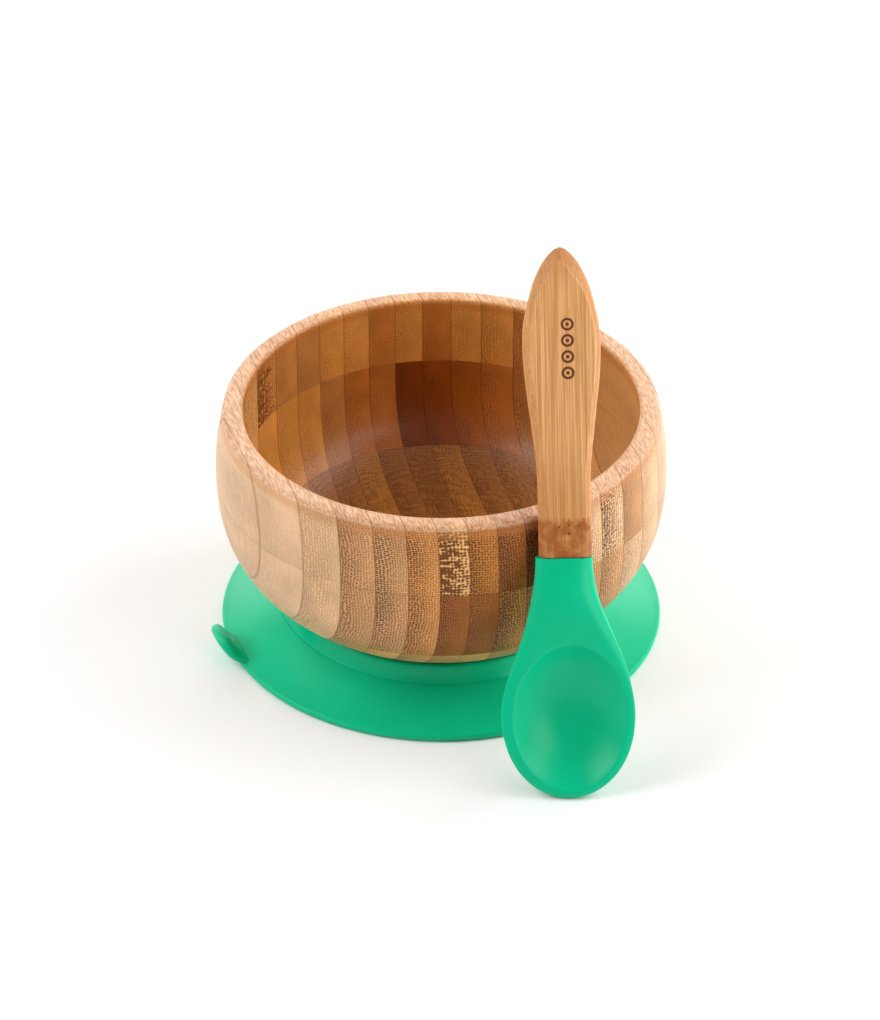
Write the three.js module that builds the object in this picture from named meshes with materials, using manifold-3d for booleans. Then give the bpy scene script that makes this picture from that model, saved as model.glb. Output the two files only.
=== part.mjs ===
// A toddler's suction bowl with its spoon. The bowl is turned from three glued boards of
// bamboo strips and sits in a silicone suction base with a pull tab. The spoon has a bamboo
// handle and a silicone head, stands on the table and leans against the bowl's rim.
// Millimetres, +Z up, the table at z = 0, the spoon at the -Y side. The parts are built
// around the bowl's axis, and the whole set is then moved so that its footprint is centred.
import * as THREE from 'three';
import { mergeVertices } from 'three/addons/utils/BufferGeometryUtils.js';
import Module from 'manifold-3d';

const wasm = await Module();
wasm.setup();

// ---- Driving dimensions ----
const GAP = 0.3;                // left between pieces that touch
const FAR = 80;                 // reaches past the bowl on every side

const BELLY_RADIUS = 63.5;      // the widest circle outside
const BELLY_HEIGHT = 52;
const OUTER_DROP = 46;          // from the belly down to where the outer curve would close
const OUTER_POWER = 2.6;
const RIM_HEIGHT = 70.45;
const RIM_TAPER = 2.6;          // how far the wall leans in from the belly to the rim
const RIM_POWER = 1.75;
const RIM_OUTER = 59.8;         // the flat top of the rim ends here
const RIM_ROUND = 1.05;         // height of the rounded outer edge
const INNER_RADIUS = 55.5;
const INNER_TOP = 50;           // the inside is a plain cylinder above this height
const INNER_POWER = 3.3;
const FLOOR_HEIGHT = 17;
const FOOT_HEIGHT = 10;         // underside of the bowl
const LATHE_SEGMENTS = 72;

const RIM_JOINT = 49.8;         // glue line between the rim board and the wall board
const BASE_JOINT = 25.3;        // glue line between the wall board and the base board
const STRIP_PITCH = 7.95;
const STRIP_TURN = THREE.MathUtils.degToRad(18);

const BASE_RADIUS = 62.84;      // the silicone base
const HINGE_RADIUS = 47.2;      // thin ring where the lip flexes against the hub
const HUB_UNDERSIDE = 3.9;      // depth of the suction chamber
const COLLAR_RADIUS = 45.4;
const COLLAR_HEIGHT = 13.4;
const COLLAR_SHOULDER = [46, 10.6];         // [radius, height]
const LIP_TOP = [[62.24, 1.9], [57, 3.4], [52, 5.5]];   // upper side of the flexible lip
const LIP_EDGE = 1.3;           // height of the lip's upright edge
const LIP_EASE = 0.5;

const TAB_TURN = THREE.MathUtils.degToRad(200);   // from +X, towards the front left
const TAB_RISE = THREE.MathUtils.degToRad(47);
const TAB_ROOT_WIDTH = 16;
const TAB_WIDTH = 12.4;
const TAB_LENGTH = 10.2;
const TAB_TIP = 5.2;            // length of the rounded tip
const TAB_THICKNESS = 2.5;
const TAB_ROOT_RADIUS = 61.4;
const TAB_ROOT_HEIGHT = 1.1;
const TAB_FLARE_END = 2.4;      // the root's flare has narrowed to the tab's width here
const TAB_BEVEL = 0.7;

const SPOON_FOOT = [35.1, -88.2, 0.05];   // where the head's tip meets the table
const SPOON_LEAN = THREE.MathUtils.degToRad(23.24);
const SPOON_ROLL = THREE.MathUtils.degToRad(-1.45);
const SPOON_LENGTH = 151.6;
const HEAD_LENGTH = 67.8;
const HEAD_WIDEST = 23.5;       // height of the widest place, and of the deepest bulge
const HEAD_TIP_POWER = 2.15;    // how blunt the head's tip is
const NECK_HEIGHT = 67.2;        // the head's outline has narrowed to the neck here
const NECK_POWER = 0.9;
const HEAD_HALF_WIDTH = 18.25;
const HEAD_DEPTH = 8.4;         // of the bulge behind the rim of the spoon's basin
const HEAD_FRONT = 1.1;         // the rim's thickness in front of and behind its middle
const HEAD_BACK = 1.4;
const NECK_BLEND = [26, 58];    // heights between which the section becomes the neck's
const SLIM_WIDTH = 6;           // narrower than this, the tip thins out
const HEAD_TRIM = 0.6;          // cut off the closed top end, where the handle enters
const BASIN_LENGTH = 42;
const BASIN_HALF_WIDTH = 15.8;
const BASIN_DEPTH = 6.4;
const BASIN_START = 1.8;
const NECK_HALF_WIDTH = 7.8;
const NECK_HALF_THICKNESS = 4.4;
const HANDLE_THICKNESS = 6;
const HANDLE_BEVEL = 1.6;
const HANDLE_OUTLINE = [[7.15, 67.5], [7.2, 84], [7.7, 95], [8.9, 106], [10.05, 116],
  [10.5, 123.5], [10.25, 130.2], [9.1, 136], [7.2, 142.6], [5.2, 146.9], [3.4, 149.7],
  [2.1, 150.9]];                                             // [half width, height]
const TENON = { width: 9, thickness: 3.6, length: 16 };

const FOOTPRINT_CENTRE = [-0.97, -12.59];   // of bowl, base, tab and spoon together

const BAMBOO_TONES = [0xdcb88c, 0xd2a878, 0xe3c6a0, 0xc99a68];
const GREEN = 0x1fbf8f;
const HANDLE_TONE = 0xd3a26b;

// ---- Helpers ----
function solidOf(geometry) {
  const bare = geometry.clone();
  bare.deleteAttribute('normal');
  bare.deleteAttribute('uv');
  const merged = mergeVertices(bare, 1e-4);
  const corners = merged.index.array;
  const triangles = [];
  for (let i = 0; i < corners.length; i += 3) {
    const [a, b, c] = [corners[i], corners[i + 1], corners[i + 2]];
    if (a !== b && b !== c && c !== a) triangles.push(a, b, c);
  }
  return new wasm.Manifold(new wasm.Mesh({
    numProp: 3,
    vertProperties: new Float32Array(merged.attributes.position.array),
    triVerts: new Uint32Array(triangles),
  }));
}

function geometryOf(solid) {
  const mesh = solid.getMesh();
  const geometry = new THREE.BufferGeometry();
  geometry.setAttribute('position', new THREE.BufferAttribute(mesh.vertProperties, 3));
  geometry.setIndex(new THREE.BufferAttribute(mesh.triVerts, 1));
  geometry.computeVertexNormals();
  return geometry;
}

function named(name, solid, colour, roughness) {
  const material = new THREE.MeshStandardMaterial({ color: colour, roughness, metalness: 0 });
  const mesh = new THREE.Mesh(geometryOf(solid), material);
  mesh.name = name;
  return mesh;
}

// A solid of revolution about the vertical axis, from [radius, height] points.
function turned(profile, segments = LATHE_SEGMENTS) {
  const points = profile.map(([radius, height]) => new THREE.Vector2(radius, height));
  return solidOf(new THREE.LatheGeometry(points, segments).rotateX(Math.PI / 2));
}

function block(low, high, turn = 0) {
  const size = high.map((value, i) => value - low[i]);
  const middle = high.map((value, i) => (value + low[i]) / 2);
  const box = new THREE.BoxGeometry(...size).translate(...middle).rotateZ(turn);
  return solidOf(box);
}

// ---- The bowl's turned outline ----
function outerRadius(height) {
  if (height <= BELLY_HEIGHT) {
    const drop = (BELLY_HEIGHT - height) / OUTER_DROP;
    return BELLY_RADIUS * (1 - drop ** OUTER_POWER) ** (1 / OUTER_POWER);
  }
  const rise = (height - BELLY_HEIGHT) / (RIM_HEIGHT - BELLY_HEIGHT);
  return BELLY_RADIUS - RIM_TAPER * rise ** RIM_POWER;
}

function innerRadius(height) {
  const drop = Math.max(INNER_TOP - height, 0) / (INNER_TOP - FLOOR_HEIGHT);
  return INNER_RADIUS * (1 - drop ** INNER_POWER) ** (1 / INNER_POWER);
}

function bowlSolid() {
  const outside = [FOOT_HEIGHT, 12.5, 16, 20.5, BASE_JOINT, 32, 40, RIM_JOINT, 58, 65,
    RIM_HEIGHT - RIM_ROUND].map((height) => [outerRadius(height), height]);
  const inside = [RIM_HEIGHT, RIM_JOINT, 38, 30, BASE_JOINT, 21.5, 18.8, 17.4]
    .map((height) => [innerRadius(height), height]);
  return turned([[0, FOOT_HEIGHT], ...outside, [RIM_OUTER, RIM_HEIGHT], ...inside,
    [0, FLOOR_HEIGHT]]);
}

// One board of the bowl, cut into its glued strips. Strips up to splitLimit are parted by
// the hollow into a front and a back piece; the others go round the hollow's side.
function boardStrips(board, name, splitLimit, outermost, bottom, top) {
  const pieces = [];
  for (let k = -outermost; k <= outermost; k += 1) {
    const side = Math.sign(k);
    const edge = Math.abs(k) === outermost ? FAR : 0;    // the last strip keeps its sliver
    const low = (k - 0.5) * STRIP_PITCH + GAP / 2 - (side < 0 ? edge : 0);
    const high = (k + 0.5) * STRIP_PITCH - GAP / 2 + (side > 0 ? edge : 0);
    const label = `${name}_${k < 0 ? 'l' : 'r'}${Math.abs(k)}`;
    const tone = BAMBOO_TONES[(k * k + outermost + k + 20) % BAMBOO_TONES.length];
    const halves = Math.abs(k) <= splitLimit
      ? [['front', -FAR, 0], ['back', 0, FAR]] : [['side', -FAR, FAR]];
    for (const [half, near, far] of halves) {
      const cutter = block([low, near, bottom], [high, far, top], STRIP_TURN);
      pieces.push(named(`${label}_${half}`, board.intersect(cutter), tone, 0.5));
    }
  }
  return pieces;
}

function makeBowl() {
  const group = new THREE.Group();
  const whole = bowlSolid();
  const rimBottom = RIM_JOINT + GAP / 2;
  const wallBottom = BASE_JOINT + GAP / 2;
  group.add(...boardStrips(whole, 'rim', 6, 7, rimBottom, FAR));
  group.add(...boardStrips(whole, 'wall', 5, 7, wallBottom, RIM_JOINT - GAP / 2));
  const base = whole.intersect(block([-FAR, -FAR, 0], [FAR, FAR, BASE_JOINT - GAP / 2]));
  group.add(named('base_board', base, BAMBOO_TONES[1], 0.5));
  return group;
}

// ---- The silicone base ----
function makeHub() {
  const dish = [COLLAR_HEIGHT, 12.3, 11.2].map((height) => [outerRadius(height + GAP), height]);
  const recess = FOOT_HEIGHT - GAP;
  const solid = turned([
    [0, HUB_UNDERSIDE], [39, HUB_UNDERSIDE], [HINGE_RADIUS - GAP, 5],
    [HINGE_RADIUS - GAP, 8.2], COLLAR_SHOULDER, [COLLAR_RADIUS, COLLAR_HEIGHT],
    ...dish, [outerRadius(FOOT_HEIGHT), recess], [0, recess],
  ]);
  return named('suction_hub', solid, GREEN, 0.55);
}

function makeSkirt() {
  const profile = [
    [HINGE_RADIUS, 5.1], [51.5, 2.4], [56, 0], [BASE_RADIUS - LIP_EASE, 0],
    [BASE_RADIUS, LIP_EASE], [BASE_RADIUS, LIP_EDGE], ...LIP_TOP, [HINGE_RADIUS, 8.1],
  ];
  return named('suction_skirt', turned([...profile, profile[0]]), GREEN, 0.55);
}

// The tab's outline lies in its own plane: x along the base's edge, y out along the tab.
function makeTab() {
  const root = TAB_ROOT_WIDTH / 2;
  const half = TAB_WIDTH / 2;
  const inward = -2;
  const flare = [0.2, 0.4];
  const outline = new THREE.Shape();
  outline.moveTo(-root, inward);
  outline.lineTo(root, inward);
  outline.lineTo(root, flare[0]);
  outline.quadraticCurveTo(half, flare[1], half, TAB_FLARE_END);
  outline.lineTo(half, TAB_LENGTH - TAB_TIP);
  outline.absellipse(0, TAB_LENGTH - TAB_TIP, half, TAB_TIP, 0, Math.PI, false);
  outline.lineTo(-half, TAB_FLARE_END);
  outline.quadraticCurveTo(-half, flare[1], -root, flare[0]);
  const slab = new THREE.ExtrudeGeometry(outline, {
    depth: TAB_THICKNESS - 2 * TAB_BEVEL, bevelEnabled: true, bevelThickness: TAB_BEVEL,
    bevelSize: TAB_BEVEL, bevelOffset: -TAB_BEVEL, bevelSegments: 2, curveSegments: 6,
  });
  slab.translate(0, 0, TAB_BEVEL - TAB_THICKNESS / 2);
  slab.rotateX(TAB_RISE);
  slab.translate(0, TAB_ROOT_RADIUS, TAB_ROOT_HEIGHT);
  slab.rotateZ(TAB_TURN - Math.PI / 2);
  // The root hooks over the lip's edge, and its foot is trimmed level with the table.
  const edge = BASE_RADIUS + GAP;
  const above = LIP_TOP.map(([radius, height]) => [radius, height + 1.2 * GAP]);
  const trim = block([-FAR, -FAR, -FAR], [FAR, FAR, GAP / 2])
    .add(turned([[0, -1], [edge, -1], [edge, LIP_EDGE + GAP], ...above, [0, 6]]));
  return named('pull_tab', solidOf(slab).subtract(trim), GREEN, 0.55);
}

// ---- The spoon, built upright: x across, y towards its back, z up along its length ----
function headHalfWidth(height) {
  if (height < HEAD_WIDEST) {
    const drop = (HEAD_WIDEST - height) / HEAD_WIDEST;
    return HEAD_HALF_WIDTH * Math.sqrt(Math.max(1 - drop ** HEAD_TIP_POWER, 0));
  }
  const rise = Math.min((height - HEAD_WIDEST) / (NECK_HEIGHT - HEAD_WIDEST), 1);
  const fade = (1 + Math.cos(Math.PI * rise ** NECK_POWER)) / 2;
  return NECK_HALF_WIDTH + (HEAD_HALF_WIDTH - NECK_HALF_WIDTH) * fade;
}

// How far the head reaches in front of and behind its middle at a height.
function headThickness(height) {
  const neck = THREE.MathUtils.smoothstep(height, ...NECK_BLEND);
  const offset = (height - HEAD_WIDEST) / HEAD_WIDEST;
  const bulge = HEAD_DEPTH * Math.sqrt(Math.max(1 - offset ** 2, 0));
  return {
    front: THREE.MathUtils.lerp(HEAD_FRONT, NECK_HALF_THICKNESS, neck),
    back: THREE.MathUtils.lerp(Math.max(bulge, HEAD_BACK), NECK_HALF_THICKNESS, neck),
  };
}

function makeSpoonHead() {
  const ball = new THREE.SphereGeometry(1, 28, 22).rotateX(Math.PI / 2);
  const place = ball.attributes.position;
  for (let i = 0; i < place.count; i += 1) {
    const height = HEAD_LENGTH * (1 + place.getZ(i)) / 2;
    const turn = Math.atan2(place.getY(i), place.getX(i));
    const closing = Math.min(1, 2 * (HEAD_LENGTH - height));
    const width = headHalfWidth(height) * closing;
    const { front, back } = headThickness(height);
    const thickness = (Math.sin(turn) > 0 ? back : front) * Math.min(1, width / SLIM_WIDTH);
    place.setXYZ(i, width * Math.cos(turn), thickness * Math.sin(turn), height);
  }
  const basin = new THREE.SphereGeometry(1, 28, 14);
  basin.scale(BASIN_HALF_WIDTH, BASIN_DEPTH + HEAD_FRONT, BASIN_LENGTH / 2);
  basin.translate(0, -HEAD_FRONT, BASIN_LENGTH / 2 + BASIN_START);
  const above = HEAD_LENGTH + 1;
  const socket = block(
    [-TENON.width / 2 - GAP, -TENON.thickness / 2 - GAP, HEAD_LENGTH - TENON.length - GAP],
    [TENON.width / 2 + GAP, TENON.thickness / 2 + GAP, above]);
  const trim = block([-FAR, -FAR, HEAD_LENGTH - HEAD_TRIM], [FAR, FAR, above]);
  return solidOf(ball).subtract(solidOf(basin)).subtract(socket).subtract(trim);
}

function makeSpoonHandle() {
  const base = HEAD_LENGTH - HEAD_TRIM + GAP;
  const side = HANDLE_OUTLINE.map(([half, height]) => new THREE.Vector2(half, height));
  const curve = new THREE.SplineCurve(side).getPoints(20);
  const outline = new THREE.Shape([
    ...curve,
    new THREE.Vector2(0, SPOON_LENGTH),
    ...curve.map((point) => new THREE.Vector2(-point.x, point.y)).reverse(),
  ]);
  const plate = new THREE.ExtrudeGeometry(outline, {
    depth: HANDLE_THICKNESS - 2 * HANDLE_BEVEL, bevelEnabled: true,
    bevelThickness: HANDLE_BEVEL, bevelSize: HANDLE_BEVEL, bevelOffset: -HANDLE_BEVEL,
    bevelSegments: 1,
  });
  plate.rotateX(Math.PI / 2);
  plate.translate(0, HANDLE_THICKNESS / 2 - HANDLE_BEVEL, 0);
  const into = base + 5;          // the tenon's root is buried in the handle
  const tenon = block(
    [-TENON.width / 2, -TENON.thickness / 2, HEAD_LENGTH - TENON.length],
    [TENON.width / 2, TENON.thickness / 2, into]);
  return solidOf(plate).add(tenon);
}

function makeSpoon() {
  const group = new THREE.Group();
  group.add(named('spoon_head', makeSpoonHead(), GREEN, 0.5));
  group.add(named('spoon_handle', makeSpoonHandle(), HANDLE_TONE, 0.5));
  group.rotation.set(-SPOON_LEAN, SPOON_ROLL, 0, 'YXZ');
  group.position.set(...SPOON_FOOT);
  return group;
}

// ---- Assembly ----
const group = new THREE.Group();
group.add(makeBowl(), makeHub(), makeSkirt(), makeTab(), makeSpoon());
group.position.set(-FOOTPRINT_CENTRE[0], -FOOTPRINT_CENTRE[1], 0);

export default group;
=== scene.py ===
"""Looks of a toddler's suction bowl: a turned bowl of laminated bamboo strips on a silicone
suction base with a pull tab, and a bamboo spoon with a silicone head leaning on the rim.

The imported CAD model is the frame. Every strip, the silicone base and the spoon are built here
as fine meshes around the frame's bowl axis, and each stands for its plain CAD node."""
import math

import bmesh
import bpy
import numpy as np
from mathutils import Matrix, Vector


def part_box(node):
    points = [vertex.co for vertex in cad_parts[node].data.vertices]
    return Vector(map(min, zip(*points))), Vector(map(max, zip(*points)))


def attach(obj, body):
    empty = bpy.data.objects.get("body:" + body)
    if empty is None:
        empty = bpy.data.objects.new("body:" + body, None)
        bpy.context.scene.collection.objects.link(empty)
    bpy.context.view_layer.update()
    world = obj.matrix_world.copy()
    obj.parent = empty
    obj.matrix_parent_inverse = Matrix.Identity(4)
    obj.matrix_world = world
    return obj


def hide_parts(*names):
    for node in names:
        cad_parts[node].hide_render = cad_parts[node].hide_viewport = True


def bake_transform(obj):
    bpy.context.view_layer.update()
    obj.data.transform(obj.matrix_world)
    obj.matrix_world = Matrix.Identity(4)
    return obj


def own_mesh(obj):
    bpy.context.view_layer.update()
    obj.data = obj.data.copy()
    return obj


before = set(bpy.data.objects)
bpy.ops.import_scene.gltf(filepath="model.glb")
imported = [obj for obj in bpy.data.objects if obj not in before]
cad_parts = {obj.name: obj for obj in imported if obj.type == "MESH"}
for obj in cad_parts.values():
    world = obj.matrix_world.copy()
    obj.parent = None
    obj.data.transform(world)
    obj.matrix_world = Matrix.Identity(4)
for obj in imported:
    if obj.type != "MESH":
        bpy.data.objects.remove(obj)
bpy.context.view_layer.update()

# ---- Sizes in millimetres, as in the CAD model; MM turns them into metres ----
MM = 0.001
skirt_low, skirt_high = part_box("suction_skirt")
AXIS_X = (skirt_low[0] + skirt_high[0]) / 2        # the bowl's axis, metres
AXIS_Y = (skirt_low[1] + skirt_high[1]) / 2
BOWL = Matrix.Translation((AXIS_X, AXIS_Y, 0))

BELLY_RADIUS, BELLY_HEIGHT = 63.5, 52.0
OUTER_DROP, OUTER_POWER = 46.0, 2.6
RIM_HEIGHT, RIM_TAPER, RIM_POWER = 70.45, 2.6, 1.75
RIM_ROUND = 1.5                                    # radius of the rim's outer edge
RIM_EASE = 0.5                                     # radius of the rim's inner edge
INNER_RADIUS, INNER_TOP, INNER_POWER = 55.5, 50.0, 3.3
FLOOR_HEIGHT, FOOT_HEIGHT = 17.0, 10.0
RIM_JOINT, BASE_JOINT = 49.8, 25.3
STRIP_PITCH, OUTERMOST = 7.95, 7                   # strips are counted from the middle one
STRIP_TURN = math.radians(18)
GLUE = 0.02                                        # half the gap that is left at a glue line
AROUND, BLADE_AROUND = 360, 144

BASE_RADIUS, HINGE_RADIUS = 62.84, 47.05
LIP_ROUND, LIP_HEIGHT, SKIRT_RISE = 0.62, 1.9, 6.2  # the lip's edge, and the rise to the hub

TAB_TURN, TAB_TILT = math.radians(200), math.radians(61.1)
TAB_START, TAB_LENGTH = -8.0, 9.6                  # along the tongue, from near the lip's edge
TAB_HALF_WIDTH, TAB_ROOT_EXTRA, TAB_ROUND = 7.2, 1.2, 5.2
TAB_HALF_THICKNESS, TAB_TIP_EXTRA = 0.88, 0.75
RIB_PITCH, RIB_DEPTH = 0.95, 0.28

SPOON_FOOT = Vector((35.1, -88.2, 0.05))
SPOON_LEAN, SPOON_ROLL = math.radians(23.24), math.radians(-1.45)
HEAD_LENGTH, HEAD_WIDEST, HEAD_HALF_WIDTH = 67.2, 23.5, 18.25
NECK_HALF_WIDTH, NECK_HALF_THICKNESS = 7.75, 4.4
COLLAR_TAPER = 0.9                                 # how far the front falls back at the collar
BASIN_HALF_WIDTH, BASIN_LENGTH, BASIN_DEPTH = 15.9, 42.0, 6.4
BASIN_START, BASIN_OFFSET = 1.8, 0.6
HANDLE_TOP, HANDLE_HALF_THICKNESS = 151.6, 2.95
BEVEL_LEFT, BEVEL_RIGHT, BEVEL_TIP, BEVEL_DROP = 2.6, 1.5, 3.4, 2.0


# ---- Mesh helpers ----
def finish_piece(name, bm, material, place=BOWL, sharp=math.radians(38)):
    """A named object from a bmesh in millimetres, smooth but for edges sharper than sharp."""
    bmesh.ops.recalc_face_normals(bm, faces=bm.faces)
    for face in bm.faces:
        face.smooth = True
    for edge in bm.edges:
        edge.smooth = len(edge.link_faces) == 2 and edge.calc_face_angle() < sharp
    mesh = bpy.data.meshes.new(name)
    bm.to_mesh(mesh)
    bm.free()
    mesh.transform(Matrix.Scale(MM, 4))
    piece = bpy.data.objects.new(name, mesh)
    bpy.context.scene.collection.objects.link(piece)
    mesh.transform(place)
    mesh.materials.append(material)
    return piece


def turned(profile, around=AROUND):
    """A closed ring or a solid of revolution from [radius, height] points, outside first."""
    bm = bmesh.new()
    rings = []
    for radius, height in profile:
        if radius < 1e-6:
            rings.append([bm.verts.new((0, 0, height))])
            continue
        rings.append([bm.verts.new((radius * math.cos(2 * math.pi * i / around),
                                    radius * math.sin(2 * math.pi * i / around), height))
                      for i in range(around)])
    closed = len(rings[0]) > 1
    pairs = list(zip(rings, rings[1:])) + ([(rings[-1], rings[0])] if closed else [])
    for low, high in pairs:
        for i in range(around):
            j = (i + 1) % around
            corners = [low[i % len(low)], low[j % len(low)],
                       high[j % len(high)], high[i % len(high)]]
            unique = list(dict.fromkeys(corners))
            if len(unique) > 2:
                bm.faces.new(unique)
    return bm


def cut(bm, point, normal):
    """Keeps what lies behind the plane and closes the cut."""
    everything = bm.verts[:] + bm.edges[:] + bm.faces[:]
    done = bmesh.ops.bisect_plane(bm, geom=everything, plane_co=point, plane_no=normal,
                                  clear_outer=True, dist=1e-5)
    edges = [part for part in done["geom_cut"] if isinstance(part, bmesh.types.BMEdge)]
    if edges:
        bmesh.ops.triangle_fill(bm, use_beauty=True, edges=edges)


def close_rings(bm, rings):
    """A closed skin over rings of vertices."""
    for low, high in zip(rings, rings[1:]):
        for i in range(len(low)):
            j = (i + 1) % len(low)
            bm.faces.new((low[i], low[j], high[j], high[i]))
    bm.faces.new(rings[0][::-1])
    bm.faces.new(rings[-1])


def loft(sections):
    """A closed skin over cross-sections, each a list of 3-D points."""
    bm = bmesh.new()
    close_rings(bm, [[bm.verts.new(point) for point in ring] for ring in sections])
    return bm


def rounded(turn, power):
    """Cosine and sine of turn, bent so that the circle becomes a rounder or squarer oval."""
    c, s = math.cos(turn), math.sin(turn)
    return (math.copysign(abs(c) ** power, c), math.copysign(abs(s) ** power, s))


def smoothstep(x, low, high):
    t = np.clip((x - low) / (high - low), 0, 1)
    return t * t * (3 - 2 * t)


# ---- Shader helpers ----
def put(tree, kind, inputs=None, **settings):
    """Adds a node. Inputs are numbers, colours or other nodes' sockets, by name or number."""
    made = tree.nodes.new(kind)
    for key, value in settings.items():
        setattr(made, key, value)
    for key, value in (inputs or {}).items():
        if isinstance(value, bpy.types.NodeSocket):
            tree.links.new(value, made.inputs[key])
        else:
            made.inputs[key].default_value = value
    return made


def calc(tree, operation, a, b=0.0, c=0.0):
    return put(tree, "ShaderNodeMath", {0: a, 1: b, 2: c}, operation=operation).outputs[0]


def ramp(tree, value, low, high, to_low=0.0, to_high=1.0):
    """value from low..high to to_low..to_high, smoothly and clamped."""
    made = put(tree, "ShaderNodeMapRange", {0: value, 1: low, 2: high, 3: to_low, 4: to_high},
               interpolation_type="SMOOTHSTEP")
    return made.outputs[0]


def mixed(tree, factor, a, b, how="MIX"):
    made = put(tree, "ShaderNodeMix", {0: factor, 6: a, 7: b}, data_type="RGBA",
               blend_type=how)
    return made.outputs[2]


def linear(red, green, blue):
    """A colour given as 0-255 screen values, as Blender's linear RGBA."""
    values = [channel / 255 for channel in (red, green, blue)]
    return (*[v / 12.92 if v <= 0.04045 else ((v + 0.055) / 1.055) ** 2.4 for v in values], 1)


def new_material(name):
    material = bpy.data.materials.new(name)
    material.use_nodes = True
    tree = material.node_tree
    return material, tree, tree.nodes["Principled BSDF"]


# ---- Bamboo ----
def local_mm(tree, place):
    """Texture coordinates in millimetres in the frame of place."""
    coords = put(tree, "ShaderNodeTexCoord").outputs["Object"]
    return put(tree, "ShaderNodeMapping",
               {"Vector": coords, "Location": place.to_translation(),
                "Rotation": place.to_euler(), "Scale": (MM, MM, MM)},
               vector_type="TEXTURE").outputs[0]


def stretched_noise(tree, vector, scale, detail=2.0):
    scaled = put(tree, "ShaderNodeVectorMath", {0: vector, 1: scale}, operation="MULTIPLY")
    return put(tree, "ShaderNodeTexNoise", {"Vector": scaled.outputs[0], "Scale": 1.0,
                                            "Detail": detail}).outputs["Fac"]


def bundle_distance(tree, grain, pitch):
    """Distance to the nearest bundle, in cells. The bundles run along y and wander a little."""
    waving = put(tree, "ShaderNodeVectorMath", {0: grain, 1: (0.05, 0.17, 0.05)},
                 operation="MULTIPLY").outputs[0]
    shift = put(tree, "ShaderNodeTexNoise", {"Vector": waving, "Scale": 1.0, "Detail": 1.0})
    bent = put(tree, "ShaderNodeVectorMath",
               {0: shift.outputs["Color"], 1: (3.2, 0, 3.2), 2: grain},
               operation="MULTIPLY_ADD").outputs[0]
    parts = put(tree, "ShaderNodeSeparateXYZ", {0: bent})
    flat = put(tree, "ShaderNodeCombineXYZ", {0: parts.outputs[0], 1: parts.outputs[2]})
    cells = put(tree, "ShaderNodeVectorMath", {0: flat.outputs[0],
                                               1: (1 / pitch, 1.12 / pitch, 0)},
                operation="MULTIPLY")
    cell = put(tree, "ShaderNodeTexVoronoi", {"Vector": cells.outputs[0], "Scale": 1.0,
                                              "Randomness": 0.42}, voronoi_dimensions="2D")
    return cell.outputs["Distance"]


def bundles(tree, grain, across, pitch, bands, size):
    """Cut ends of the vascular bundles: how dark it is on one, and how pale between them. They
    shrink across a strip, and bands makes their size vary from row to row."""
    distance = bundle_distance(tree, grain, pitch)
    fade = ramp(tree, across, 0.0, 1.0, 1.12, 0.78)
    rows = stretched_noise(tree, grain, (0.35, 0.03, 0.9))
    banded = calc(tree, "MULTIPLY_ADD", calc(tree, "SUBTRACT", rows, 0.5), bands, 1.0)
    radius = calc(tree, "MULTIPLY", calc(tree, "MULTIPLY", fade, banded), size)
    dark = ramp(tree, calc(tree, "SUBTRACT", radius, distance), -0.12, 0.08)
    light = ramp(tree, calc(tree, "SUBTRACT", distance, radius), 0.05, 0.35)
    return calc(tree, "MULTIPLY", dark, fade), light


def dotted(tree, tone, dots, crown, dark, light):
    """The strip's tone with its bundles, which the sanded crown nearly hides."""
    deep = tuple(c * factor for c, factor in zip(tone, (0.24, 0.13, 0.05, 1)))
    pale = tuple(min(c * factor, 1) for c, factor in zip(tone, (1.18, 1.22, 1.28, 1)))
    strength = calc(tree, "MULTIPLY_ADD", crown, -0.65 * dots, dots)
    colour = mixed(tree, calc(tree, "MULTIPLY", light, strength), tone, pale)
    return mixed(tree, calc(tree, "MULTIPLY", dark, strength), colour, deep)


def shaded(tree, colour, grain, across, fine):
    """Slow changes of shade along the fibres, fine streaks, and one side of a strip paler."""
    slow = stretched_noise(tree, grain, (0.16, 0.02, 0.10))
    shade = calc(tree, "ADD", ramp(tree, slow, 0.25, 0.75, 0.86, 1.1),
                 ramp(tree, fine, 0.3, 0.7, -0.05, 0.05))
    shade = calc(tree, "MULTIPLY", shade, ramp(tree, across, 0.0, 1.0, 0.93, 1.05))
    grey = put(tree, "ShaderNodeCombineColor", {0: shade, 1: shade, 2: shade}).outputs[0]
    return mixed(tree, 1.0, colour, grey, "MULTIPLY")


def sanded(tree, colour, grain, height, crown):
    """The rim's sanded top is paler and pinker, with an amber band of painted shade below it, on
    the rounded outer edge.
    """
    # Painted shade: the amber band darkens the rim's rounded outer edge under the paler top.
    rise = ramp(tree, height, RIM_HEIGHT - 4.2, RIM_HEIGHT - 2.6, 0, 0.4)
    band = calc(tree, "MULTIPLY", rise, calc(tree, "SUBTRACT", 1.0, crown))
    colour = mixed(tree, band, colour, linear(196, 124, 66))
    streaks = ramp(tree, stretched_noise(tree, grain, (2.4, 0.35, 2.4), 3.0), 0.35, 0.65)
    top = mixed(tree, streaks, linear(234, 192, 158), linear(186, 132, 98))
    return mixed(tree, calc(tree, "MULTIPLY", crown, 0.7), colour, top)


def inside_mask(tree, parts, inner):
    """1 on the bowl's hollow side, within the radius inner and above the floor."""
    flat = put(tree, "ShaderNodeCombineXYZ", {0: parts.outputs[0], 1: parts.outputs[1]})
    radius = put(tree, "ShaderNodeVectorMath", {0: flat.outputs[0]},
                 operation="LENGTH").outputs["Value"]
    return calc(tree, "MULTIPLY", ramp(tree, radius, inner + 0.35, inner - 0.35),
                ramp(tree, parts.outputs[2], FLOOR_HEIGHT - 0.6, FLOOR_HEIGHT - 0.2))


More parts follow.
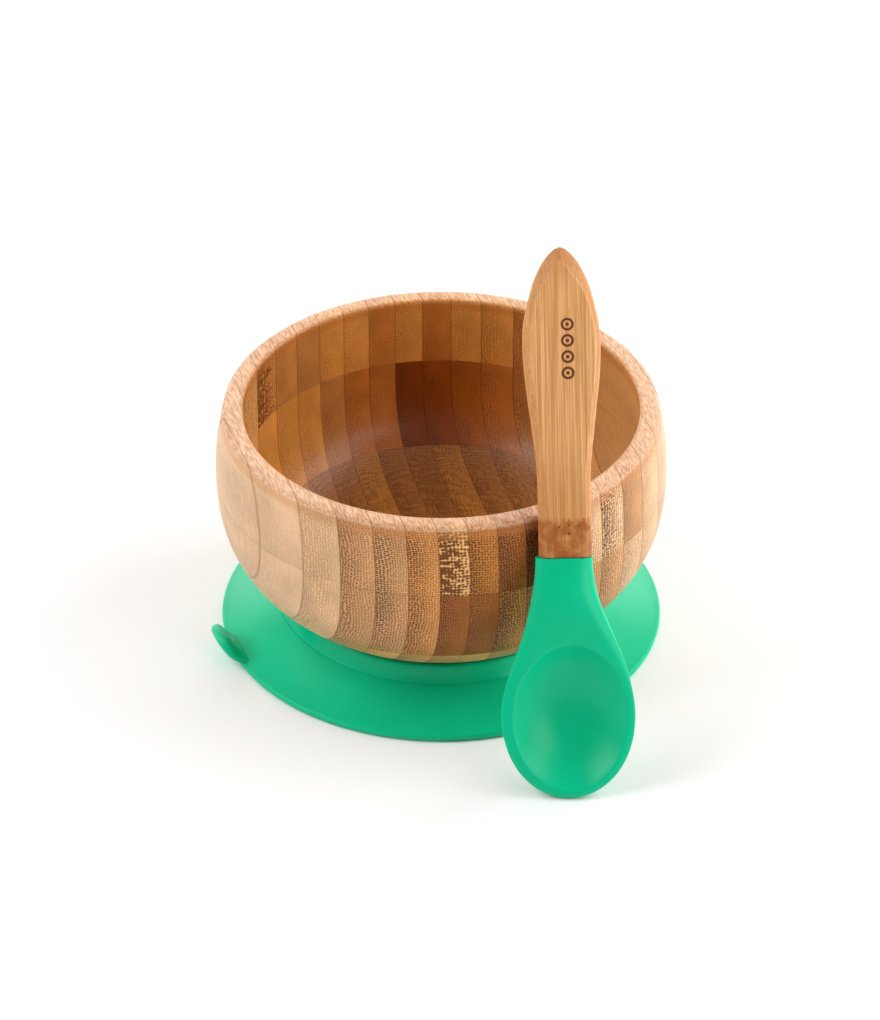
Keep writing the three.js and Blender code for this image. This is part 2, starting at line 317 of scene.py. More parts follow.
def glued(tree, colour, tone, across, height):
    """Glue lines at the strip's edges and, fainter, between the boards."""
    middle = calc(tree, "ABSOLUTE", calc(tree, "SUBTRACT", across, 0.5))
    edge = calc(tree, "ABSOLUTE", calc(tree, "SUBTRACT", middle, 0.5))
    lines = ramp(tree, edge, 0.030, 0.008, 0, 0.55)
    for joint in (RIM_JOINT, BASE_JOINT):
        away = calc(tree, "ABSOLUTE", calc(tree, "SUBTRACT", height, joint))
        lines = calc(tree, "MAXIMUM", lines, ramp(tree, away, 0.25, 0.08, 0, 0.18))
    glue = tuple(channel * factor for channel, factor in zip(tone, (0.42, 0.28, 0.18, 1)))
    return mixed(tree, lines, colour, glue)


def wood_surface(tree, shader, colour, rough, relief, strength):
    """Colour, roughness and a shallow relief for oiled wood."""
    bump = put(tree, "ShaderNodeBump", {"Strength": strength, "Distance": 0.00006,
                                        "Height": relief})
    tree.links.new(colour, shader.inputs["Base Color"])
    tree.links.new(rough, shader.inputs["Roughness"])
    tree.links.new(bump.outputs[0], shader.inputs["Normal"])


def bamboo(name, tone, strip, bundle_look, seed, inner):
    """Laminated bamboo as a solid texture. Fibres run along the strips, so cut ends show dots
    and sides show streaks. x of the grain is across the strips, y along them, z up. Inside
    the radius inner, the wood's colour is darkened by a painted shade for the hollow."""
    material, tree, shader = new_material(name)
    grain = local_mm(tree, BOWL @ Matrix.Rotation(STRIP_TURN, 4, "Z"))
    parts = put(tree, "ShaderNodeSeparateXYZ", {0: grain})
    across = calc(tree, "MULTIPLY_ADD", parts.outputs[0], 1 / STRIP_PITCH, 0.5 - strip)
    height = parts.outputs[2]
    moved = put(tree, "ShaderNodeVectorMath",
                {0: grain, 1: (seed * 17.3, seed * 9.1, seed * 23.7)}).outputs[0]
    dots, pitch, bands, size = bundle_look
    dark, light = bundles(tree, moved, across, pitch, bands, size)
    fine = stretched_noise(tree, moved, (3.2, 0.12, 3.2), 3.0)
    crown = ramp(tree, height, RIM_HEIGHT - 1.5, RIM_HEIGHT - 0.6)
    within = inside_mask(tree, parts, inner)

    colour = dotted(tree, tone, dots, crown, dark, light)
    colour = shaded(tree, colour, moved, across, fine)
    colour = sanded(tree, colour, moved, height, crown)
    # Painted shade: inside the hollow the wood's colour is multiplied darker, for the shade that
    # falls there.
    hollow_shade = FLOOR_HOLLOW_SHADE if inner == FLOOR_INSIDE else WALL_HOLLOW_SHADE
    colour = mixed(tree, within, colour, mixed(tree, 1.0, colour, hollow_shade, "MULTIPLY"))
    colour = glued(tree, colour, tone, across, height)

    relief = calc(tree, "MULTIPLY_ADD", dark, -0.6, calc(tree, "MULTIPLY", fine, 0.4))
    wood_surface(tree, shader, colour, ramp(tree, fine, 0.3, 0.7, 0.40, 0.52), relief, 0.35)
    shader.inputs["Specular IOR Level"].default_value = 0.22
    tree.links.new(calc(tree, "MULTIPLY_ADD", within, 0.34, 0.05), shader.inputs["Coat Weight"])
    shader.inputs["Coat Roughness"].default_value = 0.32
    return material


def outer_radius(height):
    if height <= BELLY_HEIGHT:
        drop = (BELLY_HEIGHT - height) / OUTER_DROP
        return BELLY_RADIUS * (1 - drop ** OUTER_POWER) ** (1 / OUTER_POWER)
    rise = (height - BELLY_HEIGHT) / (RIM_HEIGHT - BELLY_HEIGHT)
    return BELLY_RADIUS - RIM_TAPER * rise ** RIM_POWER


def inner_radius(height):
    drop = max(INNER_TOP - height, 0) / (INNER_TOP - FLOOR_HEIGHT)
    return INNER_RADIUS * (1 - drop ** INNER_POWER) ** (1 / INNER_POWER)


def rim_edge():
    """The rounded top of the rim, from the outside to the inside."""
    low = RIM_HEIGHT - RIM_ROUND
    outside = outer_radius(low)
    arc = [(outside - RIM_ROUND * (1 - math.cos(a)), low + RIM_ROUND * math.sin(a))
           for a in np.linspace(0, math.pi / 2, 8)]
    ease = [(INNER_RADIUS + RIM_EASE * (1 - math.sin(a)),
             RIM_HEIGHT - RIM_EASE * (1 - math.cos(a)))
            for a in np.linspace(0, math.pi / 2, 5)]
    return arc + ease


def board_profile(bottom, top):
    """The closed outline of one board of the bowl, up the outside and down the inside."""
    is_rim = top > RIM_HEIGHT - 1
    reach = RIM_HEIGHT - RIM_ROUND if is_rim else top
    outside = [(outer_radius(h), h) for h in np.linspace(bottom, reach, 22)]
    crown = rim_edge()[1:] if is_rim else []
    start = RIM_HEIGHT - RIM_EASE if is_rim else top
    inside = [(inner_radius(h), h) for h in np.linspace(start, bottom, 22)]
    return outside + crown + (inside[1:] if is_rim else inside)


def base_profile(bottom, top):
    """Half the outline of the base board, whose hollow ends in the bowl's flat floor. The
    points crowd together where the wall turns into the floor."""
    depth = INNER_TOP - FLOOR_HEIGHT
    outside = [(outer_radius(h), h) for h in np.linspace(bottom, top, 22)]
    first = (INNER_TOP - top) / depth
    turns = np.linspace(0, 1, 44) ** 1.6
    drops = 1 - (1 - first) * (1 - turns) ** 2.4
    inside = [(inner_radius(INNER_TOP - d * depth), INNER_TOP - d * depth) for d in drops[:-1]]
    return [(0, bottom)] + outside + inside + [(0, FLOOR_HEIGHT)]


ACROSS = Vector((math.cos(STRIP_TURN), math.sin(STRIP_TURN), 0))
ALONG = Vector((-math.sin(STRIP_TURN), math.cos(STRIP_TURN), 0))

# Tones of the strips by board and side, one letter a strip, the middle one on the axis.
WOODS = {"a": linear(214, 174, 136), "b": linear(215, 172, 128), "c": linear(194, 142, 93),
         "d": linear(199, 135, 73), "e": linear(197, 131, 68), "f": linear(176, 110, 42),
         "g": linear(154, 87, 28), "h": linear(134, 72, 14), "i": linear(218, 163, 98)}
# Painted shade for the bowl's hollow, on the wall and, darker still, on the floor.
WALL_HOLLOW_SHADE = (0.86, 0.67, 0.38, 1)
FLOOR_HOLLOW_SHADE = (0.66, 0.52, 0.30, 1)
WALL_INSIDE, FLOOR_INSIDE = 56.3, 48.6             # radii within which the hollow's wood gets its painted shade
TONES = {("rim", "front"): "abccdifghfbbcba", ("rim", "side"): "aaaaaaaaaaaaaaa",
         ("rim", "back"): "bbccciidieiiccb",
         ("wall", "front"): "bbccdggeegccbba", ("wall", "side"): "abaaaaaaaaaaaba",
         ("wall", "back"): "bbiiiceehgfeccb",
         ("base", "all"): "bbciccicciccicb"}
# How clearly the dots show, by distance from the middle strip, and on other sides.
CLEAR = [0.95, 0.95, 0.95, 0.95, 0.95, 0.85, 0.45, 0.12]
CLEAR_ELSEWHERE = {"back": 0.4, "all": 0.5}
# Strips that stand out: strength of the dots, their pitch in mm, banding, and their size.
MARKED = {("rim", "front", -3): (1.0, 0.70, 0.4, 0.29),
          ("rim", "front", -2): (1.15, 0.98, 3.2, 0.47),
          ("rim", "front", -1): (1.0, 0.80, 0.3, 0.29),
          ("rim", "front", 0): (1.0, 0.76, 0.3, 0.30),
          ("rim", "front", 1): (1.0, 0.74, 1.2, 0.38),
          ("rim", "front", 4): (1.0, 0.80, 1.0, 0.36),
          ("rim", "back", -6): (0.7, 0.9, 0.4, 0.33),
          ("rim", "back", -5): (1.0, 0.8, 1.8, 0.40),
          ("wall", "front", -4): (1.0, 0.70, 0.3, 0.30),
          ("wall", "front", -3): (1.0, 0.72, 0.3, 0.30),
          ("wall", "front", -2): (0.9, 0.62, 0.3, 0.28),
          ("wall", "front", -1): (0.9, 0.62, 0.3, 0.28),
          ("wall", "front", 0): (1.0, 0.74, 0.5, 0.38)}


def strip_look(board, half, index, inner=WALL_INSIDE):
    tone = WOODS[TONES[(board, half)][index + OUTERMOST]]
    dots = CLEAR_ELSEWHERE.get(half, CLEAR[abs(index)])
    usual = (dots, 0.62 + 0.03 * (index % 3), 0.3, 0.285)
    seed = index + 20 * (board == "rim") + 7 * (half == "back") + 51 * (board == "base")
    return bamboo(f"bamboo_{board}_{half}_{index}", tone, index,
                  MARKED.get((board, half, index), usual), seed, inner)


def side_name(index):
    return f"{'l' if index < 0 else 'r'}{abs(index)}"


def build_board(board, bottom, top, split_limit):
    """One board's strips. Up to split_limit from the middle, the hollow parts them in two."""
    whole = turned(board_profile(bottom, top))
    for index in range(-OUTERMOST, OUTERMOST + 1):
        halves = (("front", 1), ("back", -1)) if abs(index) <= split_limit else (("side", 0),)
        for half, sign in halves:
            bm = whole.copy()
            if index < OUTERMOST:
                cut(bm, ACROSS * ((index + 0.5) * STRIP_PITCH - GLUE), ACROSS)
            if index > -OUTERMOST:
                cut(bm, ACROSS * ((index - 0.5) * STRIP_PITCH + GLUE), -ACROSS)
            if sign:
                cut(bm, Vector((0, 0, 0)), ALONG * sign)
            label = f"{board}_{side_name(index)}_{half}"
            piece = finish_piece(f"{label}_strip", bm, strip_look(board, half, index))
            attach(piece, "bowl")
            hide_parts(label)
    whole.free()


def build_base_board():
    whole = turned(base_profile(FOOT_HEIGHT, BASE_JOINT - GLUE))
    for index in range(-OUTERMOST, OUTERMOST + 1):
        bm = whole.copy()
        cut(bm, ACROSS * ((index + 0.5) * STRIP_PITCH - GLUE), ACROSS)
        cut(bm, ACROSS * ((index - 0.5) * STRIP_PITCH + GLUE), -ACROSS)
        piece = finish_piece(f"base_{side_name(index)}_strip", bm,
                             strip_look("base", "all", index, inner=FLOOR_INSIDE))
        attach(piece, "bowl")
        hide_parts("base_board")
    whole.free()


build_board("rim", RIM_JOINT + GLUE, RIM_HEIGHT, 6)
build_board("wall", BASE_JOINT + GLUE, RIM_JOINT - GLUE, 5)
build_base_board()


# ---- Silicone ----
def silicone(name, tone):
    """Matt moulded silicone: slightly cloudy, with a faint orange-peel surface and some dust."""
    material, tree, shader = new_material(name)
    coords = put(tree, "ShaderNodeTexCoord").outputs["Object"]
    cloudy = put(tree, "ShaderNodeTexNoise", {"Vector": coords, "Scale": 45.0, "Detail": 3.0})
    grainy = put(tree, "ShaderNodeTexNoise",
                 {"Vector": coords, "Scale": 2600.0, "Detail": 2.0})
    specks = put(tree, "ShaderNodeTexVoronoi", {"Vector": coords, "Scale": 95.0})
    shade = calc(tree, "ADD", ramp(tree, cloudy.outputs["Fac"], 0.3, 0.7, 0.96, 1.04),
                 ramp(tree, grainy.outputs["Fac"], 0.3, 0.7, -0.012, 0.012))
    grey = put(tree, "ShaderNodeCombineColor", {0: shade, 1: shade, 2: shade}).outputs[0]
    colour = mixed(tree, 1.0, tone, grey, "MULTIPLY")
    dust = ramp(tree, specks.outputs["Distance"], 0.026, 0.014)
    colour = mixed(tree, calc(tree, "MULTIPLY", dust, 0.5), colour, linear(190, 240, 220))
    rough = ramp(tree, cloudy.outputs["Fac"], 0.3, 0.7, 0.29, 0.34)
    bump = put(tree, "ShaderNodeBump", {"Strength": 0.12, "Distance": 0.00003,
                                        "Height": grainy.outputs["Fac"]})
    tree.links.new(colour, shader.inputs["Base Color"])
    tree.links.new(rough, shader.inputs["Roughness"])
    tree.links.new(bump.outputs[0], shader.inputs["Normal"])
    shader.inputs["Specular IOR Level"].default_value = 0.18
    shader.inputs["Subsurface Weight"].default_value = 0.1
    shader.inputs["Subsurface Radius"].default_value = (0.3, 1.0, 0.6)
    shader.inputs["Subsurface Scale"].default_value = 0.002
    return material


JADE = (0.0, 0.50, 0.245, 1)
base_silicone = silicone("silicone_base", JADE)
spoon_silicone = silicone("silicone_spoon", JADE)


def skirt_profile():
    """The flexible lip: nearly level at its rounded edge, and steeper towards the hub."""
    flat, half = BASE_RADIUS - LIP_ROUND, LIP_HEIGHT / 2
    bottom = [(HINGE_RADIUS, 5.1), (51.5, 2.4), (56.0, 0.15), (57.0, 0.0), (flat, 0.0)]
    edge = [(flat + LIP_ROUND * math.cos(a), half + half * math.sin(a))
            for a in np.linspace(-math.pi / 2, math.pi / 2, 13)][1:]
    top = [(r, LIP_HEIGHT + SKIRT_RISE * ((flat - r) / (flat - HINGE_RADIUS)) ** 1.25)
           for r in np.linspace(flat, HINGE_RADIUS, 26)][1:]
    return bottom + edge + top


def hub_profile():
    """Half the outline of the hub, whose dish follows the bowl's foot with a thin gap."""
    gap, seam = 0.12, HINGE_RADIUS - 0.06
    recess = FOOT_HEIGHT - gap
    under = [(0, 3.9), (38.0, 3.9), (41.0, 4.1)]
    side = [(seam, 5.0), (seam, 8.0), (46.6, 8.45), (46.05, 9.6), (45.7, 11.2), (45.5, 12.6),
            (45.2, 13.2), (44.7, 13.4), (44.2, 13.4)]
    dish = [(outer_radius(h + gap), h) for h in np.linspace(13.2, recess, 12)]
    return under + side + dish + [(0, recess)]


def build_skirt():
    skirt = finish_piece("skirt_moulding", turned(skirt_profile()), base_silicone,
                         sharp=math.radians(60))
    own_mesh(skirt)
    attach(skirt, "base")
    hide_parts("suction_skirt")


def build_hub():
    hub = finish_piece("hub_moulding", turned(hub_profile()), base_silicone,
                       sharp=math.radians(50))
    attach(hub, "hub")
    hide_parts("suction_hub")


def tab_ring(at, reach, rise, tilt):
    """The tongue's cross-section at one place along it, ribbed on its inner face."""
    tip = max(at - (TAB_LENGTH - TAB_ROUND), 0) / TAB_ROUND
    root = TAB_ROOT_EXTRA * (1 - smoothstep(at, -6.0, 3.0))
    width = (TAB_HALF_WIDTH + root) * math.sqrt(max(1 - tip ** 2, 0))
    thick = TAB_HALF_THICKNESS + TAB_TIP_EXTRA * smoothstep(at, -2, 3)
    thick *= 1 - max(tip - 0.62, 0) ** 2 * 6.2
    width, thick = max(width, 0.02), max(thick, 0.01)
    ribs = RIB_DEPTH * (0.5 + 0.5 * math.cos(2 * math.pi * at / RIB_PITCH))
    ribs *= smoothstep(at, 1.4, 2.2) * (1 - smoothstep(at, 7.6, 8.6))
    ring = []
    for turn in np.linspace(0, 2 * math.pi, 48, endpoint=False):
        c, s = rounded(turn, 0.62)
        x, y = width * c, thick * s
        if s > 0:
            y += ribs * (1 - smoothstep(abs(x) / width, 0.55, 0.8))
        ring.append((reach - y * math.sin(tilt), x, rise + y * math.cos(tilt)))
    return ring


def build_tab():
    """A tongue that leaves the lip level and turns up, and that bends at its root."""
    quarter = np.linspace(0, math.pi / 2, 90)
    reach, rise, previous = BASE_RADIUS - 1.3 + TAB_START, LIP_HEIGHT / 2, TAB_START
    sections = []
    for at in TAB_START + (TAB_LENGTH - TAB_START) * np.sin(quarter):
        tilt = TAB_TILT * smoothstep(at, -6.0, 8.0)
        reach += (at - previous) * math.cos(tilt)
        rise += (at - previous) * math.sin(tilt)
        previous = at
        sections.append(tab_ring(at, reach, rise, tilt))
    bm = loft(sections)
    bmesh.ops.transform(bm, matrix=Matrix.Rotation(TAB_TURN, 4, "Z"), verts=bm.verts)
    tab = finish_piece("tab_moulding", bm, base_silicone, sharp=math.radians(60))
    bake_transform(tab)
    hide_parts("pull_tab")


build_skirt()
build_hub()
build_tab()


# ---- Spoon, upright in its own frame: x across, -y its front, z along its length ----
SPOON = (Matrix.Translation(Vector((AXIS_X, AXIS_Y, 0)) + SPOON_FOOT * MM)
         @ Matrix.Rotation(SPOON_ROLL, 4, "Y") @ Matrix.Rotation(-SPOON_LEAN, 4, "X"))


def head_half_width(height):
    if height < HEAD_WIDEST:
        drop = (HEAD_WIDEST - height) / HEAD_WIDEST
        return HEAD_HALF_WIDTH * math.sqrt(max(1 - drop ** 2.15, 0))
    rise = min((height - HEAD_WIDEST) / (HEAD_LENGTH - HEAD_WIDEST), 1)
    fade = (1 + math.cos(math.pi * rise ** 0.9)) / 2
    return NECK_HALF_WIDTH + (HEAD_HALF_WIDTH - NECK_HALF_WIDTH) * fade


def head_sway(height):
    """The moulding isn't quite straight: its middle drifts a little to either side."""
    return 0.45 * math.exp(-((height - 40) / 9) ** 2) - 0.4 * smoothstep(height, 46, 60)


def basin_depth(x, height, front):
    """How far the basin is sunk behind the front, 0 outside its soft edge."""
    rho = math.hypot((x - BASIN_OFFSET) / BASIN_HALF_WIDTH,
                     (height - BASIN_START - BASIN_LENGTH / 2) / (BASIN_LENGTH / 2))
    if rho >= 1:
        return 0
    inward = 1 - rho ** 2.3
    return (BASIN_DEPTH + front) * inward ** 2 / (inward + 0.07) * 1.07


def head_ring(height):
    """The head's cross-section: a shell with a basin below, a rounded bar at the neck."""
    width = head_half_width(height)
    neck = float(smoothstep(height, 26, 58))
    bulge = 8.4 * math.sqrt(max(1 - ((height - HEAD_WIDEST) / HEAD_WIDEST) ** 2, 0))
    collar = NECK_HALF_THICKNESS - COLLAR_TAPER * smoothstep(height, 54, 67)
    front = (1 - neck) * 1.15 + neck * collar
    back = (1 - neck) * max(bulge, 1.4) + neck * NECK_HALF_THICKNESS
    slim = min(1, width / 6)
    ring = []
    for turn in np.linspace(0, 2 * math.pi, 160, endpoint=False):
        s = math.sin(turn)
        x = width * rounded(turn, 0.8)[0]
        if s > 0:
            y = back * slim * s ** 0.95
        else:
            y = basin_depth(x, height, front) - front * slim * abs(s) ** (0.55 + 0.3 * neck)
        ring.append((x + head_sway(height), y, height))
    return ring


def build_spoon_head():
    low = HEAD_WIDEST * (1 - np.cos(np.linspace(0.015, math.pi / 2, 70)))
    high = np.linspace(HEAD_WIDEST, HEAD_LENGTH, 110)[1:]
    sections = [head_ring(height) for height in (*low, *high)]
    top = sections[-1]
    for inset, lift in ((0.25, 0), (0.5, 0.12)):
        sections.append([(x * (1 - inset / NECK_HALF_WIDTH), y * (1 - inset / NECK_HALF_THICKNESS),
                          HEAD_LENGTH + lift) for x, y, _ in top])
    head = finish_piece("spoon_head_moulding", loft(sections), spoon_silicone, place=SPOON,
                        sharp=math.radians(50))
    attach(head, "spoon")
    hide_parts("spoon_head")


# The handle's outline as height and half width, with a smooth curve through the points.
HANDLE_OUTLINE = [(66.4, 7.2), (76, 7.2), (84, 7.2), (90, 7.3), (95, 7.65), (101, 8.33),
                  (106, 8.9), (111, 9.5), (116, 10.05), (123.5, 10.5), (130.2, 10.25), (136, 9.1),
                  (139.5, 8.2), (142.6, 7.2), (145, 6.1), (146.9, 5.1), (148.4, 4.1), (149.7, 3.0),
                  (150.6, 2.05), (151.2, 1.15), (HANDLE_TOP, 0.0)]


def handle_slope(height):
    """The outline's slope at one of its points, from the points beside it."""
    at = [h for h, _ in HANDLE_OUTLINE].index(height)
    low, high = max(at - 1, 0), min(at + 1, len(HANDLE_OUTLINE) - 1)
    return ((HANDLE_OUTLINE[high][1] - HANDLE_OUTLINE[low][1])
            / (HANDLE_OUTLINE[high][0] - HANDLE_OUTLINE[low][0]))


def handle_half_width(height):
    for (low, start), (high, end) in zip(HANDLE_OUTLINE, HANDLE_OUTLINE[1:]):
        if height <= high:
            break
    before, after = handle_slope(low), handle_slope(high)
    step, t = high - low, (height - low) / (high - low)
    return ((2 * t ** 3 - 3 * t ** 2 + 1) * start + (t ** 3 - 2 * t ** 2 + t) * step * before
            + (3 * t ** 2 - 2 * t ** 3) * end + (t ** 3 - t ** 2) * step * after)


KNUCKLE_TOP = 80.2
KNUCKLE_FLECKS = [(-1.6, 76.0, 0.42), (1.0, 74.2, 0.5), (1.1, 76.4, 0.4), (3.7, 76.3, 0.38),
                  (6.4, 75.4, 0.4)]                # x, height and radius
RING_STEP, RING_START, RING_ASIDE = 4.4, 118.0, 1.6
RING_INNER, RING_OUTER, RING_DOT, RING_BLUR = 0.98, 1.84, 0.42, 0.18


def straight_grain(tree, place, height, lines, hair):
    """Edge-grain bamboo: fine straight lines, a little darker at the tip and the knuckle."""
    slow = stretched_noise(tree, place, (0.12, 0.12, 0.035), 1.0)
    colour = mixed(tree, ramp(tree, lines, 0.34, 0.66), linear(196, 133, 74),
                   linear(229, 178, 119))
    colour = mixed(tree, ramp(tree, hair, 0.54, 0.72, 0, 0.5), colour, linear(178, 108, 52))
    colour = mixed(tree, ramp(tree, slow, 0.35, 0.7, 0, 0.35), colour, linear(214, 150, 92))
    colour = mixed(tree, ramp(tree, height, 138, 151, 0, 0.6), colour, linear(190, 126, 72))
    return mixed(tree, ramp(tree, height, 104, 80, 0, 0.4), colour, linear(182, 118, 58))


def bevelled(tree, colour, flecks):
    """The sanded bevels cut across the fibres, so they are darker and speckled."""
    bevel = put(tree, "ShaderNodeAttribute", attribute_name="bevel").outputs["Fac"]
    cut_across = calc(tree, "MULTIPLY", ramp(tree, bevel, 0.05, 0.35),
                      ramp(tree, flecks, 0.35, 0.65, 0.35, 1.0))
    return mixed(tree, calc(tree, "MULTIPLY", cut_across, 0.75), colour, linear(184, 120, 64))


def knuckled(tree, colour, place, parts, flecks):
    """The cane's knuckle: a dark patchy band next to the silicone, with a few darker dots."""
    height = parts.outputs[2]
    uneven = calc(tree, "MULTIPLY_ADD", flecks, 3.0, height)
    band = calc(tree, "MULTIPLY", ramp(tree, uneven, KNUCKLE_TOP, KNUCKLE_TOP - 1.8),
                ramp(tree, height, 64.5, 67.5))
    patchy = ramp(tree, stretched_noise(tree, place, (0.5, 0.5, 0.4), 3.0),
                  0.3, 0.65, 0.35, 1.0)
    band = calc(tree, "MULTIPLY", calc(tree, "MULTIPLY", band, patchy), 0.85)
    colour = mixed(tree, band, colour, linear(152, 76, 14))
    flat = put(tree, "ShaderNodeCombineXYZ", {0: parts.outputs[0], 2: height}).outputs[0]
    for x, z, size in KNUCKLE_FLECKS:
        gap = put(tree, "ShaderNodeVectorMath", {0: flat, 1: (x, 0, z)},
                  operation="DISTANCE").outputs["Value"]
        colour = mixed(tree, ramp(tree, gap, size, size * 0.4, 0, 0.85), colour,
                       linear(84, 40, 20))
    return colour


def ring_marks(tree, parts):
    """1 on the decoration: a short row of rings with dots, on the handle's front only."""
    along = calc(tree, "SUBTRACT", parts.outputs[2], RING_START)
    folded = calc(tree, "PINGPONG", along, RING_STEP / 2)
    aside = calc(tree, "SUBTRACT", parts.outputs[0], RING_ASIDE)
    away = calc(tree, "SQRT", calc(tree, "ADD", calc(tree, "MULTIPLY", folded, folded),
                                   calc(tree, "MULTIPLY", aside, aside)))
    hoop = calc(tree, "MULTIPLY", ramp(tree, away, RING_INNER, RING_INNER + RING_BLUR),
                ramp(tree, away, RING_OUTER, RING_OUTER - RING_BLUR))
    mark = calc(tree, "MAXIMUM", hoop, ramp(tree, away, RING_DOT + 0.14, RING_DOT))
    low, high = -0.5 * RING_STEP, 3.5 * RING_STEP
    span = calc(tree, "MULTIPLY", ramp(tree, along, low, low + 0.1),
                ramp(tree, along, high + 0.1, high))
    facing = ramp(tree, parts.outputs[1], -1.6, -2.0)
    return calc(tree, "MULTIPLY", calc(tree, "MULTIPLY", mark, span), facing)


def handle_material():
    """Straight-grained bamboo with its bevels, its knuckle and a plain burnt row of rings."""
    material, tree, shader = new_material("bamboo_handle")
    place = local_mm(tree, SPOON)
    parts = put(tree, "ShaderNodeSeparateXYZ", {0: place})
    height = parts.outputs[2]
    lines = stretched_noise(tree, place, (2.3, 0.8, 0.03), 4.0)
    hair = stretched_noise(tree, place, (5.5, 3.0, 0.16), 2.0)
    flecks = stretched_noise(tree, place, (2.6, 2.6, 0.5), 2.0)
    burnt = ring_marks(tree, parts)

    colour = straight_grain(tree, place, height, lines, hair)
    colour = bevelled(tree, colour, flecks)
    colour = knuckled(tree, colour, place, parts, flecks)
    colour = mixed(tree, calc(tree, "MULTIPLY", burnt, 0.95), colour, linear(88, 36, 20))
    # Painted shade: a dark line on the handle just above the silicone collar, in the crease where
    # the two meet.
    collar_crease_shade = ramp(tree, calc(tree, "MULTIPLY_ADD", flecks, 0.6, height),
                       HEAD_LENGTH + 0.85, HEAD_LENGTH + 0.45, 0, 0.75)
    colour = mixed(tree, collar_crease_shade, colour, linear(70, 44, 24))

    relief = calc(tree, "SUBTRACT", calc(tree, "MULTIPLY", hair, 0.5), burnt)
    wood_surface(tree, shader, colour, ramp(tree, lines, 0.3, 0.7, 0.44, 0.54), relief, 0.3)
    shader.inputs["Specular IOR Level"].default_value = 0.25
    tree.links.new(calc(tree, "MULTIPLY_ADD", burnt, -0.1, 0.1), shader.inputs["Coat Weight"])
    shader.inputs["Coat Roughness"].default_value = 0.35
    return material


def blade_slope(x, height, edge_heights, edge_widths):
    """How far down the bevel a point is, 0 on the flat and 1 at the outline, and how far the
    outline is."""
    inside = float(np.min(np.hypot(edge_widths - abs(x), edge_heights - height)))
    side = BEVEL_LEFT if x < 0 else BEVEL_RIGHT
    reach = side + (BEVEL_TIP - side) * smoothstep(height, 136, 148)
    return float(np.clip(1 - inside / reach, 0, 1)), inside


def build_blade():
    """The handle's mesh: a flat blade with sanded bevels, the left one wider, that meet in a
    point at the tip. Its layer bevel tells the material where they are."""
    edge_heights = np.linspace(HEAD_LENGTH - 6, HANDLE_TOP, 240)
    edge_widths = np.array([handle_half_width(height) for height in edge_heights])
    tip_start = 140
    towards_tip = np.sin(np.linspace(0, math.pi / 2, 60))[1:]
    heights = np.concatenate([np.linspace(HEAD_LENGTH + 0.3, tip_start, 120),
                              tip_start + (HANDLE_TOP - tip_start) * towards_tip])
    bm = bmesh.new()
    layer = bm.verts.layers.float.new("bevel")
    rings = []
    for height in heights:
        width = max(handle_half_width(height), 0.03)
        ring = []
        for turn in np.linspace(0, 2 * math.pi, BLADE_AROUND, endpoint=False):
            s = math.sin(turn)
            x = width * rounded(turn, 0.62)[0]
            slope, inside = blade_slope(x, height, edge_heights, edge_widths)
            round_edge = min(1, math.sqrt(max(1 - (1 - min(inside / 0.9, 1)) ** 2, 0)) + 0.05)
            thick = (HANDLE_HALF_THICKNESS - BEVEL_DROP * slope ** 1.15) * round_edge
            vert = bm.verts.new((x, thick * math.copysign(min(abs(s) * 4, 1), s), height))
            vert[layer] = slope if s < 0 else 0
            ring.append(vert)
        rings.append(ring)
    close_rings(bm, rings)
    return bm


def build_spoon_handle():
    handle = finish_piece("spoon_handle_blade", build_blade(), handle_material(), place=SPOON,
                          sharp=math.radians(60))
    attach(handle, "spoon")
    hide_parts("spoon_handle")


build_spoon_head()
build_spoon_handle()


# ---- Floor, lights and camera ----
def backdrop_material():
    """White paper that glows far from the object, so that it stays white out to the horizon."""
    material, tree, shader = new_material("studio_white")
    shader.inputs["Base Color"].default_value = (0.9, 0.9, 0.9, 1)
    shader.inputs["Roughness"].default_value = 0.9
    coords = put(tree, "ShaderNodeTexCoord").outputs["Object"]
    away = put(tree, "ShaderNodeVectorMath", {0: coords}, operation="LENGTH").outputs["Value"]
    shader.inputs["Emission Color"].default_value = (1.0, 1.0, 1.0, 1)
    tree.links.new(ramp(tree, away, 0.4, 1.3, 0, 0.9), shader.inputs["Emission Strength"])
    return material


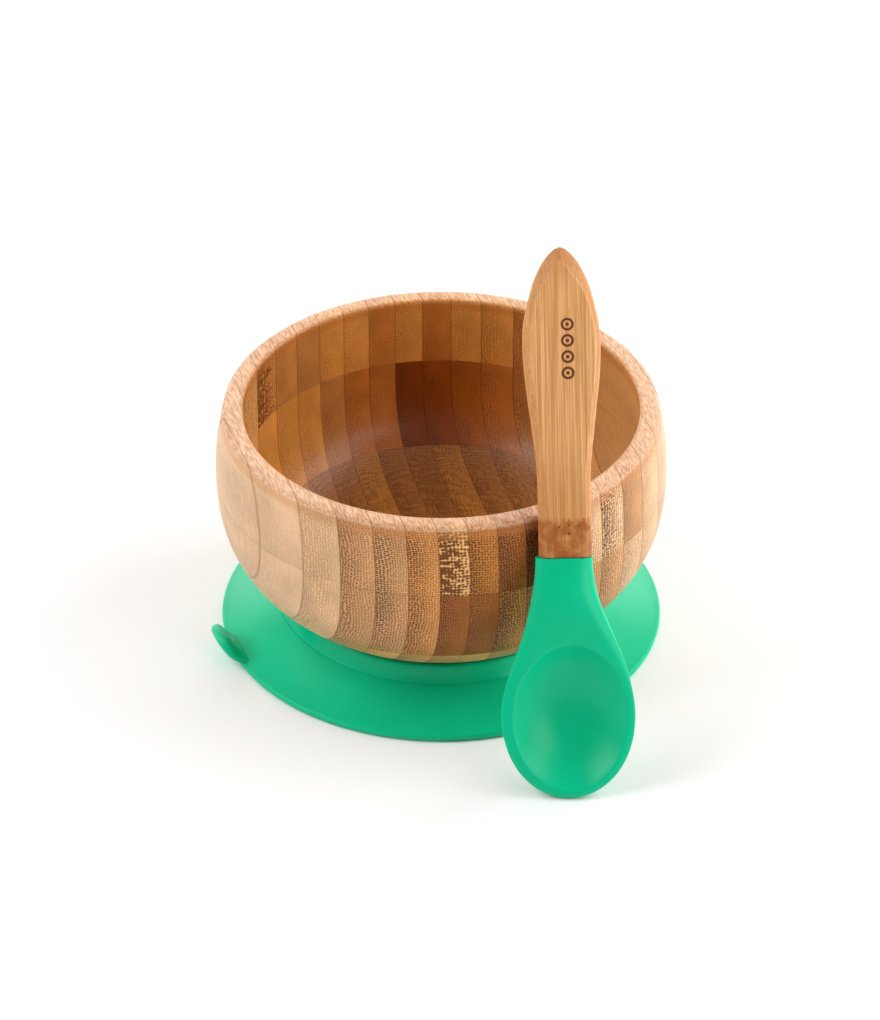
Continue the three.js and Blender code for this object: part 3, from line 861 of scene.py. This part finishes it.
def build_floor():
    bpy.ops.mesh.primitive_plane_add(size=8, location=(0, 0, -0.0002))
    floor = bpy.context.object
    floor.name = "studio_floor"
    floor.data.materials.append(backdrop_material())


# Soft boxes: the direction from the object, the distance and size in metres, and the power.
LIGHTS = {"key_left": ((-1.0, -0.05, 0.8), 1.1, (0.9, 0.8), 10),
          "fill_right": ((1.0, 0.2, 0.7), 1.1, (0.9, 0.8), 10),
          "backdrop": ((0.0, 1.0, 0.38), 1.2, (1.9, 0.5), 11),
          "front_right": ((0.95, -0.75, 0.5), 1.2, (0.7, 0.7), 5.2)}


def add_light(name, direction, distance, size, power):
    light = bpy.data.lights.new(name, "AREA")
    light.shape = "RECTANGLE"
    light.size, light.size_y = size
    light.energy = power
    lamp = bpy.data.objects.new(name, light)
    bpy.context.scene.collection.objects.link(lamp)
    aim = Vector(direction).normalized()
    target = Vector((AXIS_X, AXIS_Y, 0.035))
    lamp.location = target + aim * distance
    lamp.rotation_euler = aim.to_track_quat("Z", "Y").to_euler()


def build_lights():
    world = bpy.data.worlds.new("studio")
    world.use_nodes = True
    sky = world.node_tree.nodes["Background"]
    sky.inputs[0].default_value = (1.0, 1.0, 1.0, 1)
    sky.inputs[1].default_value = 0.25
    bpy.context.scene.world = world
    for name, settings in LIGHTS.items():
        add_light(name, *settings)


def build_camera():
    """A long lens on the bowl's axis, looking down on it as in the photograph."""
    elevation = math.radians(34.313)
    distance, target_x, target_z = 1.4, -0.344 * MM, 34.951 * MM
    focal_px, frame_px = 4936.4, 1020
    camera = bpy.data.cameras.new("camera")
    camera.lens = focal_px * camera.sensor_width / frame_px
    holder = bpy.data.objects.new("camera", camera)
    bpy.context.scene.collection.objects.link(holder)
    holder.location = (AXIS_X + target_x, AXIS_Y - distance * math.cos(elevation),
                       target_z + distance * math.sin(elevation))
    holder.rotation_euler = (math.pi / 2 - elevation, 0, 0)
    bpy.context.scene.camera = holder


build_floor()
build_lights()
build_camera()
bpy.context.scene.view_settings.view_transform = "Standard"
